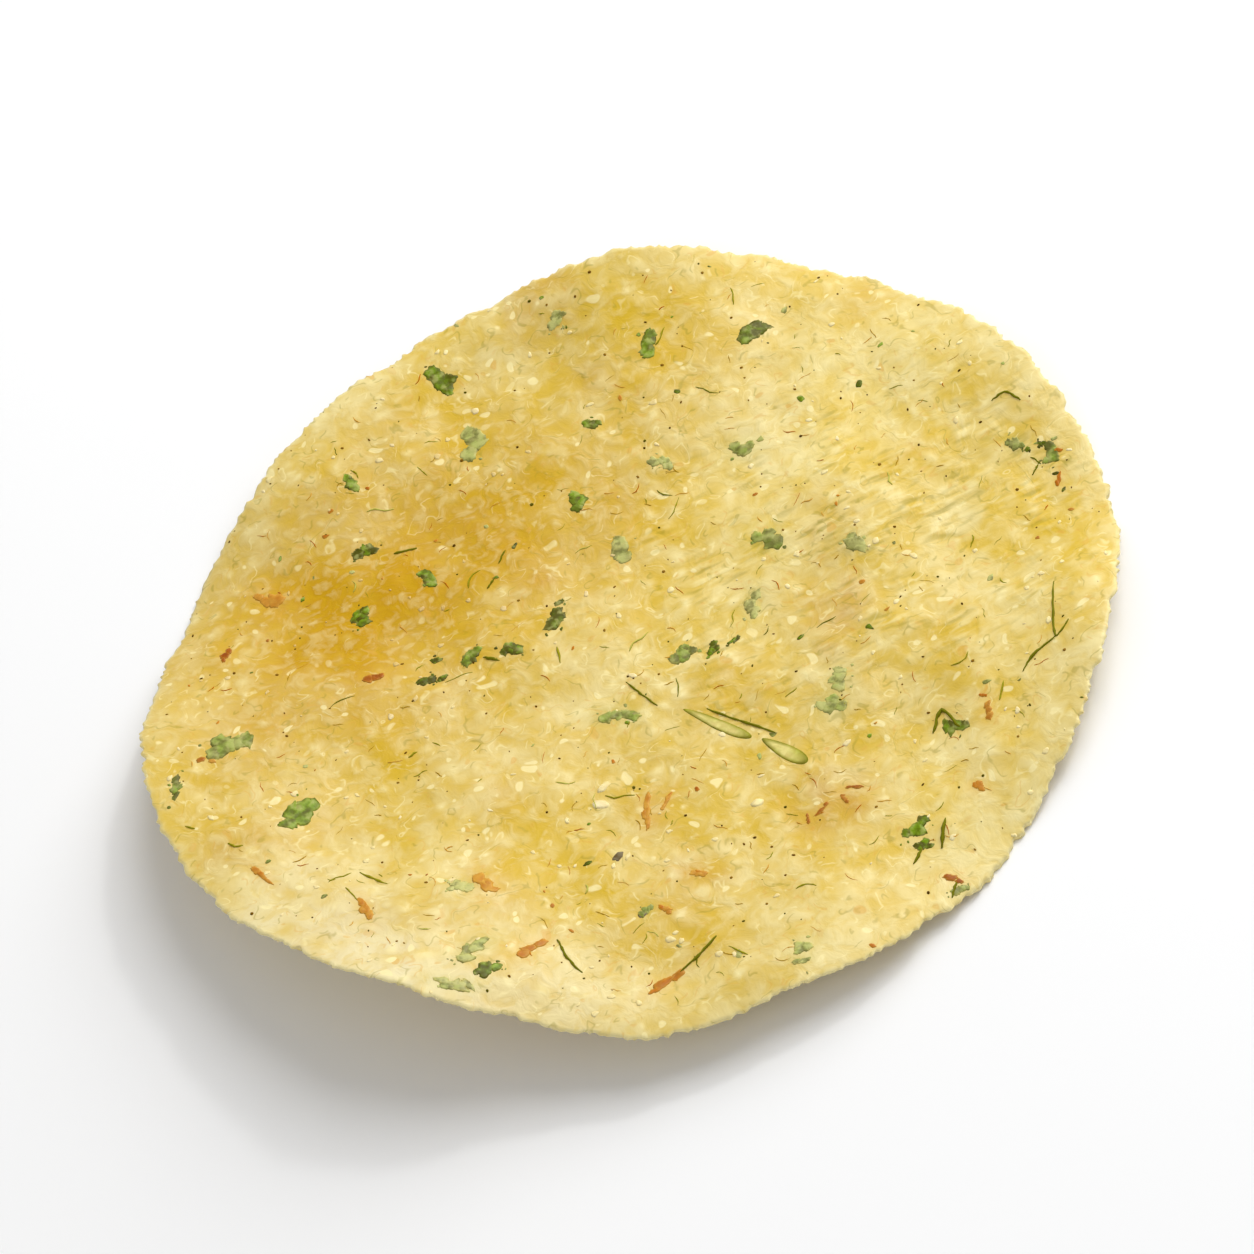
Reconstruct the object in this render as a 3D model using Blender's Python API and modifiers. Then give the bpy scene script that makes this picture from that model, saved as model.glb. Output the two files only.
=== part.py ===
"""A fried spinach papadum: one thin, wavy, crisp sheet with leaf and chilli flakes in its faces.

The sheet lies on the XY plane, shown side up, and stands on three low places of its rim.
Metres, +Z up, with the origin under the middle of the sheet's box, on the surface it lies on.
"""

import math
import random

import bmesh
import bpy
from mathutils import Matrix, Vector, noise

MILLIMETRE = 0.001

# Driving sizes of the sheet
SHEET_RADIUS = 0.050
SHEET_THICKNESS = 0.0012
RINGS = 19
SECTORS = 6
SECTOR = math.tau / SECTORS

# A point of the grid this near to a line between sectors, or to the middle, counts as on it
LINE_WIDTH = 0.001

# The middle lies lower than the rim
DISH_DEPTH = 0.0024
DISH_POWER = 2.4

# Rolled outline: bulges round the rim, their size as a share of the radius, degrees of the first
OUTLINE_WAVES = ((2, 0.012, 8), (3, 0.004, 60), (4, 0.008, 5))
NIBBLE_DEPTH = 0.0004
NIBBLE_PITCH = 0.0042

# Waves from frying: crests round the rim, height, degrees of the first, how fast they fade inwards
RIM_WAVES = ((2, 0.0022, 39, 2.0), (3, 0.0016, -28, 2.8), (7, 0.0013, 22, 4.5))

# Soft bumps all over the sheet: height, distance between them, place in the noise
BUMPS = ((0.0008, 0.026, 10.49), (0.00035, 0.010, 11.2))

# The sheet leans a little, so that three low places of its rim touch the surface together
LEAN_ALONG_X = -0.0536
LEAN_ALONG_Y = -0.0370
PRESSED_DEPTH = 0.00025

# Flakes stand a little proud of the sheet
FLAKE_PROUD = 0.0003
FLAKE_SUNK = 0.00035
FLAKE_SIDES = 8
RAGGEDNESS = (0.75, 1.1)

# Large flakes of the shown face, in millimetres and degrees: x, y, length, width, turn
LEAF_FLAKES = (
    (-41.9, 2.3, 5.2, 3.0, 20),
    (-37.2, -9.3, 4.4, 4.2, 39),
    (-48.0, -2.0, 3.6, 1.3, 66),
    (-21.1, 3.2, 2.0, 1.5, -24),
    (-16.1, 4.4, 2.8, 2.0, 16),
    (-11.9, 3.5, 2.8, 2.2, -5),
    (-6.5, 5.4, 3.1, 2.1, 59),
    (-3.7, -9.0, 4.4, 2.0, -23),
    (4.4, -4.0, 2.8, 2.8, 1),
    (7.4, -4.8, 2.0, 1.3, 48),
    (18.3, -14.3, 3.4, 2.2, 57),
    (16.7, -17.0, 2.9, 2.6, 0),
    (16.3, 6.5, 3.7, 2.8, -57),
    (24.5, 1.3, 3.1, 1.9, -67),
    (17.1, 18.8, 2.8, 2.2, -13),
    (43.2, 6.4, 2.2, 1.3, -57),
    (46.2, 3.6, 2.4, 1.8, 58),
    (27.1, -24.6, 2.8, 1.6, -48),
    (20.3, -34.9, 3.3, 2.1, 20),
    (-24.2, -34.6, 3.9, 1.8, 21),
    (-23.4, -37.4, 2.6, 2.2, -12),
    (-26.6, -38.6, 4.6, 1.4, -24),
    (5.8, -45.0, 2.1, 1.6, 15),
)
CHILLI_FLAKES = (
    (-39.9, 15.8, 1.9, 1.0, 66),
    (-25.9, 5.6, 2.0, 1.7, -24),
    (-19.0, -35.7, 3.3, 2.3, 18),
    (-21.2, -26.3, 3.8, 1.8, -80),
    (-32.9, -25.6, 3.4, 1.1, -80),
    (-7.8, -43.5, 4.2, 1.8, 25),
    (-4.2, -22.4, 4.4, 1.3, 72),
)

# Flakes spread by chance over the rest of the shown face, and beneath the sheet
REST_COUNT = 14
REST_FROM = math.radians(55)
REST_TO = math.radians(165)
BENEATH_COUNT = 34
SCATTER_SPACING = 8.0
SCATTER_DRAWS = 60
SCATTER_REACH = 44.0
SCATTER_LENGTH = (2.2, 4.6)
SCATTER_SLIMNESS = (0.45, 0.85)
CHILLI_SHARE = 0.25
SCATTER_SEED = 7

# No flake beneath comes this near to the surface that the sheet lies on
FLOOR_CLEARANCE = 0.0012

PAPADUM_YELLOW = (0.72, 0.52, 0.15, 1.0)
LEAF_GREEN = (0.05, 0.16, 0.05, 1.0)
CHILLI_RED = (0.50, 0.14, 0.03, 1.0)
SATIN = 0.5


def rim_radius(angle):
    """Distance from the middle to the uneven rim."""
    share = 1.0
    for bulges, size, first in OUTLINE_WAVES:
        share += size * math.cos(bulges * (angle - math.radians(first)))
    nibbles = SHEET_RADIUS / NIBBLE_PITCH
    place = Vector((nibbles * math.cos(angle), nibbles * math.sin(angle), 0.0))
    return share * SHEET_RADIUS + NIBBLE_DEPTH * noise.noise(place)


def sheet_height(x, y):
    """Height of the sheet's middle surface."""
    share = math.hypot(x, y) / SHEET_RADIUS
    angle = math.atan2(y, x)
    height = DISH_DEPTH * share**DISH_POWER
    for crests, size, first, fading in RIM_WAVES:
        height += size * share**fading * math.cos(crests * (angle - math.radians(first)))
    for size, pitch, offset in BUMPS:
        height += size * noise.noise(Vector((x / pitch, y / pitch, offset)))
    return height + LEAN_ALONG_X * x + LEAN_ALONG_Y * y


def sheet_point(x, y, above):
    """The point that lies a given distance above the middle surface, square to it."""
    step = SHEET_THICKNESS / 2
    slope_x = (sheet_height(x + step, y) - sheet_height(x - step, y)) / (2 * step)
    slope_y = (sheet_height(x, y + step) - sheet_height(x, y - step)) / (2 * step)
    square = Vector((-slope_x, -slope_y, 1.0)).normalized()
    return Vector((x, y, sheet_height(x, y))) + above * square


def hexagon_to_disc(corner):
    """Move a point of the unit hexagon's triangle grid to the disc: its rings become circles."""
    sector = math.floor(math.atan2(corner.y, corner.x) / SECTOR + LINE_WIDTH)
    first = Vector((math.cos(sector * SECTOR), math.sin(sector * SECTOR)))
    second = Vector((math.cos((sector + 1) * SECTOR), math.sin((sector + 1) * SECTOR)))
    along_first = corner.xy.cross(second) / first.cross(second)
    along_second = first.cross(corner.xy) / first.cross(second)
    ring = along_first + along_second
    if ring < LINE_WIDTH:
        return 0.0, 0.0
    angle = (sector + along_second / ring) * SECTOR
    reach = ring * rim_radius(angle)
    return reach * math.cos(angle), reach * math.sin(angle)


def new_material(name, colour):
    material = bpy.data.materials.new(name)
    material.use_nodes = True
    shader = material.node_tree.nodes["Principled BSDF"]
    shader.inputs["Base Color"].default_value = colour
    shader.inputs["Roughness"].default_value = SATIN
    shader.inputs["Metallic"].default_value = 0.0
    return material


def new_object(name, bm, collection, material):
    mesh = bpy.data.meshes.new(name)
    bm.to_mesh(mesh)
    bm.free()
    mesh.materials.append(material)
    piece = bpy.data.objects.new(name, mesh)
    collection.objects.link(piece)
    return piece


def apply_modifiers(piece):
    """Give the object the mesh that its modifiers make."""
    graph = bpy.context.evaluated_depsgraph_get()
    mesh = bpy.data.meshes.new_from_object(piece.evaluated_get(graph))
    piece.modifiers.clear()
    piece.data = mesh


def make_sheet(collection, material):
    """The bare sheet: a grid of triangles laid on the wavy surface, then thickened."""
    bm = bmesh.new()
    bmesh.ops.create_circle(bm, cap_ends=True, cap_tris=True, segments=SECTORS, radius=1.0)
    bmesh.ops.rotate(bm, verts=bm.verts, cent=Vector(), matrix=Matrix.Rotation(SECTOR / 2, 3, "Z"))
    bmesh.ops.subdivide_edges(bm, edges=bm.edges, cuts=RINGS - 1, use_grid_fill=True)
    for corner in bm.verts:
        x, y = hexagon_to_disc(corner.co)
        corner.co = Vector((x, y, sheet_height(x, y)))
    sheet = new_object("papadum", bm, collection, material)
    solid = sheet.modifiers.new("thickness", "SOLIDIFY")
    solid.thickness = SHEET_THICKNESS
    solid.offset = 0.0
    apply_modifiers(sheet)
    return sheet


def make_flake(place, side, chance, collection, material):
    """One ragged flake, bent to the sheet, on its top face where side is 1 and beneath where -1."""
    x, y, length, width = (size * MILLIMETRE for size in place[:4])
    turn = math.radians(place[4])
    ragged = [chance.uniform(*RAGGEDNESS) for number in range(FLAKE_SIDES)]
    bm = bmesh.new()
    bmesh.ops.create_cone(bm, cap_ends=True, segments=FLAKE_SIDES, radius1=1, radius2=1, depth=2)
    for corner in bm.verts:
        number = round(math.atan2(corner.co.y, corner.co.x) / math.tau * FLAKE_SIDES)
        along = corner.co.x * ragged[number % FLAKE_SIDES] * length / 2
        across = corner.co.y * ragged[number % FLAKE_SIDES] * width / 2
        beyond_face = FLAKE_PROUD if corner.co.z * side > 0 else -FLAKE_SUNK
        corner.co = sheet_point(
            x + along * math.cos(turn) - across * math.sin(turn),
            y + along * math.sin(turn) + across * math.cos(turn),
            side * (SHEET_THICKNESS / 2 + beyond_face),
        )
    bmesh.ops.triangulate(bm, faces=bm.faces)
    return new_object("flake", bm, collection, material)


def scatter(count, start, end, keep_out, chance):
    """Places for flakes between two angles, each drawn by chance and kept if it is far from the rest."""
    places = []
    for draw in range(count * SCATTER_DRAWS):
        angle = chance.uniform(start, end)
        reach = SCATTER_REACH * math.sqrt(chance.random())
        x, y = reach * math.cos(angle), reach * math.sin(angle)
        length = chance.uniform(*SCATTER_LENGTH)
        width = length * chance.uniform(*SCATTER_SLIMNESS)
        turn = chance.uniform(-90, 90)
        near = any(math.hypot(x - other[0], y - other[1]) < SCATTER_SPACING for other in places)
        if not near and not keep_out(x, y):
            places.append((x, y, length, width, turn))
        if len(places) == count:
            break
    return places


def make_flakes(floor, collection, leaf, chilli):
    """All the flakes: those of the shown face by name, and the others by chance."""
    chance = random.Random(SCATTER_SEED)
    for place in LEAF_FLAKES:
        make_flake(place, 1, chance, collection, leaf)
    for place in CHILLI_FLAKES:
        make_flake(place, 1, chance, collection, chilli)

    def near_shown_flake(x, y):
        shown = LEAF_FLAKES + CHILLI_FLAKES
        return any(math.hypot(x - other[0], y - other[1]) < SCATTER_SPACING for other in shown)

    def near_floor(x, y):
        return sheet_height(x * MILLIMETRE, y * MILLIMETRE) < floor + FLOOR_CLEARANCE

    above = scatter(REST_COUNT, REST_FROM, REST_TO, near_shown_flake, chance)
    beneath = scatter(BENEATH_COUNT, 0.0, math.tau, near_floor, chance)
    for side, places in ((1, above), (-1, beneath)):
        for place in places:
            material = chilli if chance.random() < CHILLI_SHARE else leaf
            make_flake(place, side, chance, collection, material)


def fuse_flakes(sheet, flakes):
    """Join the flakes to the sheet as one solid, then remove them."""
    union = sheet.modifiers.new("flakes", "BOOLEAN")
    union.operation = "UNION"
    union.operand_type = "COLLECTION"
    union.collection = flakes
    union.solver = "EXACT"
    union.material_mode = "TRANSFER"
    apply_modifiers(sheet)
    for flake in list(flakes.objects):
        bpy.data.objects.remove(flake)
    bpy.data.collections.remove(flakes)


def set_down(sheet):
    """Press the three low places of the rim flat, and bring the sheet over the origin."""
    bm = bmesh.new()
    bm.from_mesh(sheet.data)
    floor = min(corner.co.z for corner in bm.verts) + PRESSED_DEPTH
    across = [corner.co.x for corner in bm.verts]
    along = [corner.co.y for corner in bm.verts]
    middle_x = (min(across) + max(across)) / 2
    middle_y = (min(along) + max(along)) / 2
    for corner in bm.verts:
        height = max(corner.co.z - floor, 0.0)
        corner.co = Vector((corner.co.x - middle_x, corner.co.y - middle_y, height))
    bmesh.ops.triangulate(bm, faces=bm.faces)
    bm.to_mesh(sheet.data)
    bm.free()


def main():
    for old in list(bpy.data.objects):
        bpy.data.objects.remove(old)
    parts = bpy.data.collections.new("spinach papadum")
    flakes = bpy.data.collections.new("flakes")
    bpy.context.scene.collection.children.link(parts)
    bpy.context.scene.collection.children.link(flakes)
    sheet = make_sheet(parts, new_material("papadum yellow", PAPADUM_YELLOW))
    floor = min(corner.co.z for corner in sheet.data.vertices) + SHEET_THICKNESS / 2
    make_flakes(floor, flakes, new_material("leaf", LEAF_GREEN), new_material("chilli", CHILLI_RED))
    fuse_flakes(sheet, flakes)
    set_down(sheet)


main()
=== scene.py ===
"""The looks of the spinach papadum: its dough, leaf, chilli, stems, grains and specks."""
import math
import random

import bmesh
import bpy
import numpy as np
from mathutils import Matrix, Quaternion, Vector, noise
from mathutils.bvhtree import BVHTree


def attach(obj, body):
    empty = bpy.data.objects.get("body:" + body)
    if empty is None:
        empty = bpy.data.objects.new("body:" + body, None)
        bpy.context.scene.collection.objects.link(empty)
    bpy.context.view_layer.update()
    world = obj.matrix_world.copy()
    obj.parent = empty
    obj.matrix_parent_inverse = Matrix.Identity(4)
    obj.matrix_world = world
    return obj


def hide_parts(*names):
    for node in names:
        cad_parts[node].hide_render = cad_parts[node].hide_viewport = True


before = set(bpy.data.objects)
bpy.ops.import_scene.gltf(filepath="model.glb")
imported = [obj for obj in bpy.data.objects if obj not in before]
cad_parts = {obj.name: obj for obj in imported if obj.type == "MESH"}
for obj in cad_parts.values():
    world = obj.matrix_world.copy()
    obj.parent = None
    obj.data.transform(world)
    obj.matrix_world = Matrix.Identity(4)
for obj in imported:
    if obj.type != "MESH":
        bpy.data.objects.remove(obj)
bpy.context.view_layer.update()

MILLIMETRE = 0.001
TAU = math.tau

# The sheet's own sizes, the same as the solid's
SHEET_RADIUS = 0.05
SHEET_THICKNESS = 0.0012
DISH_DEPTH = 0.0024
DISH_POWER = 2.4
OUTLINE_WAVES = ((2, 0.012, 8), (3, 0.004, 60), (4, 0.008, 5))
NIBBLE_DEPTH = 0.0004
NIBBLE_PITCH = 0.0042
RIM_WAVES = ((2, 0.0022, 39, 2.0), (3, 0.0016, -28, 2.8), (7, 0.0013, 22, 4.5))
BUMPS = ((0.0008, 0.026, 10.49), (0.00035, 0.01, 11.2))
LEAN_ALONG_X = -0.0536
LEAN_ALONG_Y = -0.037
PRESSED_DEPTH = 0.00025

# The fine sheet: rings of its triangle grid, and how the rim frays and thins
RINGS = 122
SECTORS = 6
RIM_COUNT = 2 * SECTORS * RINGS
FRINGE_WIDTH = 0.00055
FRAY = ((0.0006, 0.006, 2.3), (0.0006, 0.0023, 3.1))
FRAY_POWER = 30
NICK_DEPTH = 0.0007
NICK_PITCH = 0.0011
EDGE_SHARES = {1: 0.16, -1: 0.2}
EDGE_TAPER = 0.005
LIP_HEIGHT = 0.0006
TIP_ANGLE = math.radians(-102)
TIP_WIDTH = math.radians(9)
TIP_REACH = 0.0011
TIP_POWER = 8


def srgb(red, green, blue):
    """A colour as read off a screen, from 0 to 255, as linear light."""
    screen = np.array((red, green, blue)) / 255
    return np.where(screen < 0.04045, screen / 12.92, ((screen + 0.055) / 1.055) ** 2.4)


# Colours of the dough
YELLOW = srgb(202, 166, 34)
CREAM = srgb(239, 221, 150)
# Painted light: a paler cream where the right of the sheet is more lit
PAINTED_LIGHT = srgb(248, 228, 150)
# A paler cream for the rim: partly thinner, drier dough, partly a painted glow of light through the thin edge
PALE_RIM_AND_GLOW = srgb(236, 223, 164)
# A whiter cream for the lower-left rim: partly paler dough, partly a painted sheen where the sheet turns to
# the light
WHITE_RIM_AND_SHEEN = srgb(234, 229, 204)
POOL = srgb(214, 176, 0)
CLOUD = srgb(238, 222, 160)
OCHRE = srgb(192, 152, 24)
# A deep golden, partly the dough's tone and partly painted shade
GOLDEN_SHADE = srgb(196, 148, 0)
BROWNED = srgb(184, 122, 36)
LEAF_STAIN = srgb(184, 182, 96)
# Painted shade: an olive dark for wrinkle troughs and thin dark lines
CREASE_SHADE = srgb(146, 132, 14)
# Painted highlight: a near-white cream for wrinkle crests and thin pale lines
HIGHLIGHT_STREAK = srgb(246, 232, 168)
# Painted glint: a near white for some grains, standing in for sparkle of light
PAINTED_GLINT = srgb(252, 242, 204)

# Colours of what is in it
DARK_LEAF = srgb(82, 80, 0)
FRESH_LEAF = srgb(120, 152, 2)
VEILED_LEAF = srgb(188, 188, 112)
DARK_EDGE = srgb(72, 70, 0)
VEILED_EDGE = srgb(208, 192, 100)
CHILLI = srgb(192, 112, 0)
DEEP_CHILLI = srgb(150, 74, 0)
VEILED_CHILLI = srgb(216, 164, 62)
OLIVE_STEM = srgb(156, 152, 30)
DARK_STEM = srgb(120, 122, 20)
PALE_STEM = srgb(196, 194, 92)
FIBRE = srgb(184, 146, 30)
SPECKS = (srgb(90, 64, 8), srgb(122, 88, 18), srgb(96, 90, 14), srgb(150, 114, 34))
SEED = srgb(134, 124, 98)
GRAIN = srgb(246, 231, 168)

# Leaves of the shown face, in millimetres and degrees: x, y, length, width, turn, how veiled, how fresh
LEAVES = (
    (-41.9, 2.3, 5.2, 3.0, 20, 0.4, 0.4),
    (-37.2, -9.3, 4.4, 4.2, 39, 0.12, 0.8),
    (-48.0, -2.0, 3.6, 1.3, 66, 0.15, 0.2),
    (-21.1, 3.2, 2.0, 1.5, -24, 0.0, 0.1),
    (-16.1, 4.4, 2.8, 2.0, 16, 0.15, 0.4),
    (-11.9, 3.5, 2.8, 2.2, -5, 0.05, 0.2),
    (-6.5, 5.4, 3.1, 2.1, 59, 0.05, 0.2),
    (-3.7, -9.0, 4.4, 2.0, -23, 0.55, 0.4),
    (4.4, -4.0, 2.8, 2.8, 1, 0.35, 0.3),
    (7.4, -4.8, 2.0, 1.3, 48, 0.0, 0.6),
    (18.3, -14.3, 3.4, 2.2, 57, 0.8, 0.5),
    (16.7, -17.0, 2.9, 2.6, 0, 0.75, 0.5),
    (16.3, 6.5, 3.7, 2.8, -57, 0.45, 0.4),
    (24.5, 1.3, 3.1, 1.9, -67, 0.8, 0.1),
    (17.1, 18.8, 2.8, 2.2, -13, 0.55, 0.5),
    (43.2, 6.4, 2.2, 1.3, -57, 0.6, 0.2),
    (46.2, 3.6, 2.4, 1.8, 58, 0.3, 0.5),
    (27.1, -24.6, 2.8, 1.6, -48, 0.1, 0.3),
    (20.3, -34.9, 3.3, 2.1, 20, 0.0, 0.8),
    (-24.2, -34.6, 3.9, 1.8, 21, 0.8, 0.6),
    (-23.4, -37.4, 2.6, 2.2, -12, 0.1, 0.6),
    (-26.6, -38.6, 4.6, 1.4, -24, 0.88, 0.1),
    (5.8, -45.0, 2.1, 1.6, 15, 0.8, 0.7),
    (-19.4, 2.9, 1.2, 1.0, 0, 0.0, 0.1),
    (-19.6, 5.6, 1.2, 1.0, 0, 0.0, 0.1),
    (-5.8, 7.6, 1.1, 1.0, 0, 0.0, 0.2),
    (9.6, -4.6, 1.6, 0.5, 32, 0.0, 0.2),
    (12.5, -0.9, 3.4, 1.7, 66, 0.95, 0.5),
    (44.2, 5.1, 0.8, 0.7, -26, 0.0, 0.1),
    (45.6, 5.2, 1.2, 0.5, -26, 0.0, 0.3),
    (20.2, -36.8, 1.9, 1.3, -10, 0.0, 0.2),
    (-23.6, -25.8, 2.6, 1.9, -18, 0.92, 0.6),
    (22.1, -43.2, 1.9, 1.0, 18, 0.6, 0.2),
    (5.6, -46.6, 1.8, 0.7, 1, 0.75, 0.2),
    (-7.1, -34.6, 1.9, 1.1, 50, 0.5, 0.6),
)

# Chilli flakes of the shown face: x, y, length, width, turn, how veiled, how deep the red
CHILLIES = (
    (-39.9, 15.8, 2.1, 1.2, 66, 0.0, 0.8),
    (-25.9, 5.6, 2.3, 1.5, -24, 0.05, 0.7),
    (-19.0, -35.7, 3.3, 1.5, 18, 0.4, 0.4),
    (-21.2, -26.3, 3.4, 1.7, -80, 0.7, 0.4),
    (-32.9, -25.6, 3.4, 1.1, -80, 0.7, 0.5),
    (-7.8, -43.5, 4.2, 1.2, 25, 0.25, 0.4),
    (-4.2, -22.4, 4.2, 0.9, 72, 0.75, 0.4),
    (46.0, 0.5, 1.9, 0.6, 71, 0.0, 0.1),
    (47.0, 3.8, 0.8, 0.7, 0, 0.1, 0.1),
    (27.4, -32.7, 1.4, 1.3, -26, 0.35, 0.1),
    (-2.0, -21.7, 2.6, 0.6, 50, 0.75, 0.4),
    (-1.2, -31.8, 1.9, 1.2, -23, 0.75, 0.3),
    (-5.3, -35.1, 1.7, 1.1, -45, 0.7, 0.4),
    (21.8, -41.7, 1.9, 1.1, -20, 0.1, 1.0),
    (30.9, -24.9, 2.2, 1.1, 63, 0.55, 1.0),
    (31.0, -22.9, 0.8, 0.7, -29, 0.1, 0.1),
    (-42.1, -16.7, 3.5, 0.8, -64, 0.6, 0.6),
    (12.2, -28.8, 1.9, 0.6, 30, 0.3, 1.0),
    (14.6, -28.4, 1.5, 0.8, -60, 0.3, 1.0),
    (16.1, -27.5, 1.8, 0.5, -20, 0.2, 1.0),
    (10.6, -29.2, 1.2, 0.5, 70, 0.3, 1.0),
)

# How many of the first leaves and chilli flakes are in the solid too
SOLID_LEAVES = 23
SOLID_CHILLIES = 7

# Stems and threads of the shown face: half thickness, colour, and the points they pass through
STEMS = (
    (0.11, OLIVE_STEM, ((-7.4, 1.8), (-7.6, -0.5))),
    (0.11, DARK_STEM, ((-2.0, -5.3), (-1.0, -7.2), (0.2, -9.5))),
    (0.14, DARK_STEM, ((4.8, -11.9), (7.5, -14.6), (10.5, -17.7))),
    (0.15, DARK_STEM, ((42.6, 12.1), (44.2, 12.4), (45.4, 10.8))),
    (0.13, DARK_STEM, ((41.6, -12.9), (40.4, -16.9), (39.8, -19.8), (41.6, -18.6))),
    (0.14, DARK_STEM, ((39.8, -19.8), (37.1, -20.7), (35.5, -22.1))),
    (0.13, DARK_STEM, ((-16.2, -35.2), (-15.8, -37.8), (-14.9, -40.0))),
    (0.09, OLIVE_STEM, ((-0.7, -41.8), (0.8, -43.7))),
    (0.14, DARK_STEM, ((-6.0, -42.7), (-3.8, -41.6), (-1.5, -40.1))),
    (0.16, DARK_STEM, ((-20.5, 21.7), (-18.0, 21.5))),
    (0.11, DARK_STEM, ((-9.4, 16.4), (-10.4, 15.0))),
    (0.11, DARK_STEM, ((-11.4, 13.2), (-12.3, 12.3))),
    (0.13, OLIVE_STEM, ((-32.7, -19.9), (-30.3, -22.7))),
    (0.19, DARK_STEM, ((25.1, -24.4), (26.6, -22.3), (27.7, -25.2))),
    (0.1, OLIVE_STEM, ((33.4, -22.2), (32.3, -24.2))),
    (0.2, DARK_STEM, ((23.2, -35.0), (21.8, -37.9))),
    (0.19, DARK_STEM, ((20.1, -37.2), (18.8, -38.7))),
    (0.1, DARK_STEM, ((44.7, 3.1), (43.7, 2.1))),
    (0.1, OLIVE_STEM, ((-33.5, -24.1), (-34.3, -21.8))),
    (0.13, DARK_STEM, ((22.1, -42.2), (21.1, -43.9))),
    (0.16, DARK_STEM, ((-14.9, 3.7), (-13.4, 2.5))),
    (0.11, OLIVE_STEM, ((-44.4, -11.2), (-43.8, -11.9), (-43.0, -12.1))),
    (0.1, OLIVE_STEM, ((-48.0, -7.4), (-47.2, -8.1))),
)

# Pods, pale inside with an olive rim: x, y, length, width, turn
PODS = (
    (5.3, -14.1, 8.2, 1.5, -48),
    (10.7, -20.3, 6.0, 2.0, -55),
)

# Where the dough has another tone, partly its own and partly painted light and shade: a painted sheen on the
# lower-left rim, painted light on the right, painted shade at the left, in the hollow middle and at the right
# rim: x, y, reach, colour, how much
TONE_AND_PAINTED_LIGHT_SPOTS = (
    (-42, -23, 8, WHITE_RIM_AND_SHEEN, 0.7),
    (-35, -34, 8, WHITE_RIM_AND_SHEEN, 0.85),
    (-22, -44, 8, WHITE_RIM_AND_SHEEN, 0.7),
    (-24, -30, 9, OCHRE, 0.2),
    (28, 18, 15, PAINTED_LIGHT, 0.75),
    (27, -38, 12, PAINTED_LIGHT, 0.6),
    (12, 2, 13, CREAM, 0.35),
    (32, -6, 12, CREAM, 0.2),
    (43, -17, 8, POOL, 0.55),
    (48, -1, 9, POOL, 0.62),
    (-41, -3, 9, OCHRE, 0.55),
    (-14, -10, 14, OCHRE, 0.24),
    (6, -20, 16, OCHRE, 0.14),
)

# Where it is golden, partly a deeper tone and partly painted shade: x, y, reach, how much
GOLDEN_SHADE_SPOTS = (
    (-29, 14, 17, 0.9),
    (-10, 22, 14, 0.5),
    (1, 16, 8, 0.22),
    (14, 31, 10, 0.25),
    (-6, -38, 8, 0.12),
)

# Browned stains: x, y, reach, how much
BROWN_SPOTS = (
    (13.4, -28.6, 4.2, 0.55),
    (20.6, -4.2, 4.0, 0.45),
    (-3.4, -22.4, 3.0, 0.3),
    (-1.5, -32.0, 3.4, 0.28),
    (-21.0, -25.0, 3.2, 0.2),
    (8.0, -9.0, 4.0, 0.15),
)
BROWN_CHANCE_COUNT = 16
BROWN_CHANCE_SIZE = (3.0, 9.0)
BROWN_CHANCE_SHARE = (0.1, 0.32)

# Pale grains of the shown face: x, y, length, width, turn
GRAINS = (
    (-8.3, -19.6, 1.7, 1.1, -21),
    (-7.5, -17.5, 2.1, 0.9, 41),
    (6.5, -25.5, 1.5, 1.3, 3),
    (-5.9, -38.7, 1.2, 0.8, -22),
    (-4.9, -39.3, 0.9, 0.7, 40),
    (-5.2, -38.2, 0.7, 0.5, 10),
)

# Grey seeds of the shown face: x, y, length, width, turn
SEEDS = (
    (-8.2, -26.9, 1.6, 1.1, 60),
    (-7.6, -34.9, 1.0, 0.8, 10),
)

# Flakes spread by chance, drawn as for the solid
REST_COUNT = 14
REST_FROM = math.radians(55)
REST_TO = math.radians(165)
BENEATH_COUNT = 34
SCATTER_SPACING = 8.0
SCATTER_DRAWS = 60
SCATTER_REACH = 44.0
SCATTER_LENGTH = (2.2, 4.6)
SCATTER_SLIMNESS = (0.45, 0.85)
CHILLI_SHARE = 0.25
SCATTER_SEED = 7
FLAKE_SIDES = 8
FLOOR_CLEARANCE = 0.0012
SOLID_RINGS = 19

# Seeds of the random draws
FACE_SEED = 21
SPECK_SEED = 21
FLAKE_SEED = 26
THREAD_SEED = 30
GRAIN_SEED = 34

# Small things spread over each face: how many, least and greatest length, how veiled they may be
CHANCE_REACH = 49.0
CHANCE_SLIMNESS = (0.45, 0.95)
SMALL_LEAVES = (46, 0.4, 1.3, (0.0, 0.0, 0.3, 0.8))
SMALL_CHILLIES = (30, 0.3, 1.0, (0.0, 0.3, 0.6))
PAINTED_GRAINS = (620, 0.7, 2.3)
PROUD_GRAINS = (170, 0.3, 1.1)
SPECK_COUNT = 380
SPECK_SIZE = (0.08, 0.24)
SPECK_SLIMNESS = (0.5, 1.0)
SPECK_HEIGHT = 0.45

# Threads spread by chance: how many, least and greatest length, half thickness, colours
THREAD_REACH = 46.0
CHANCE_THREADS = (
    (34, 1.0, 3.2, 0.08, (OLIVE_STEM, DARK_STEM, PALE_STEM)),
    (260, 0.6, 1.7, 0.045, (FIBRE, OLIVE_STEM, VEILED_CHILLI, CHILLI)),
)
FIBRE_STEPS = 3
FIBRE_BEND = 40
FIBRE_THICKNESS = (0.6, 1.3)
FIBRE_SAMPLES = 2

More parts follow.
